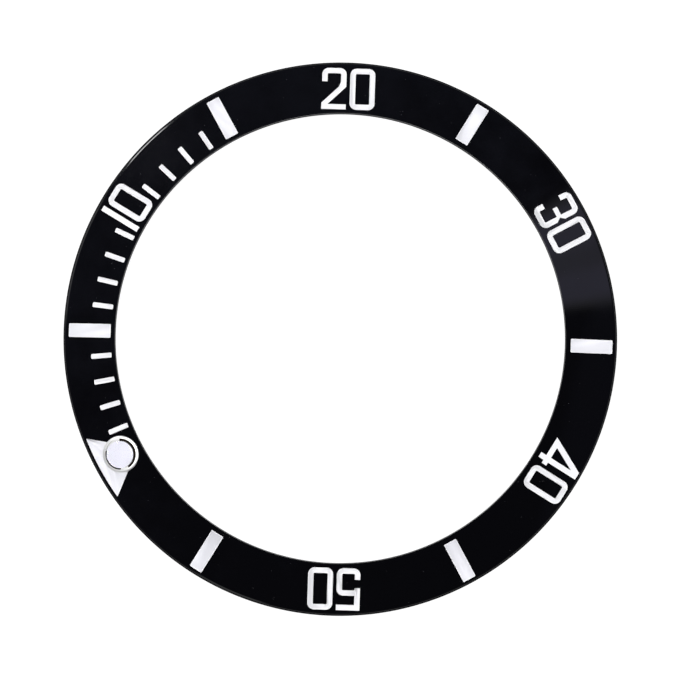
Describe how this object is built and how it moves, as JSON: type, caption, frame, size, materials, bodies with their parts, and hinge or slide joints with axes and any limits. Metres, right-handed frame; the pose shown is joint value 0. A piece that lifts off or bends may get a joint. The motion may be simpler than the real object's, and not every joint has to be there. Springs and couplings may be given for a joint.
{
  "type": "watch bezel insert",
  "caption": "Sloped ring insert for a dive watch bezel, with an engraved and filled minute scale, numerals, a zero triangle and a luminous pearl in a metal cup.",
  "frame": {"origin": "on the ring's axis, in the plane of the flat land under the rim", "axes": "+Z along the axis and out of the numbered face, +Y towards the zero triangle; the minutes run clockwise seen from +Z"},
  "size_m": [0.0376, 0.0376, 0.0017],
  "materials": {
    "black_ceramic": "polished",
    "white_filling": "satin",
    "polished_steel": "polished",
    "luminous_paint": "matte",
    "clear_lens": "clear"
  },
  "bodies": {
    "root": {"insert_ring": "black_ceramic", "zero_triangle": "white_filling", "numeral_10": "white_filling", "numeral_20": "white_filling", "numeral_30": "white_filling", "numeral_40": "white_filling", "numeral_50": "white_filling", "bar_05": "white_filling", "bar_15": "white_filling", "bar_25": "white_filling", "bar_35": "white_filling", "bar_45": "white_filling", "bar_55": "white_filling", "tick_01": "white_filling", "tick_02": "white_filling", "tick_03": "white_filling", "tick_04": "white_filling", "tick_06": "white_filling", "tick_07": "white_filling", "tick_08": "white_filling", "tick_09": "white_filling", "tick_11": "white_filling", "tick_12": "white_filling", "tick_13": "white_filling", "tick_14": "white_filling", "pearl_cup": "polished_steel", "pearl_pellet": "luminous_paint", "pearl_lens": "clear_lens"}
  },
  "joints": []
}
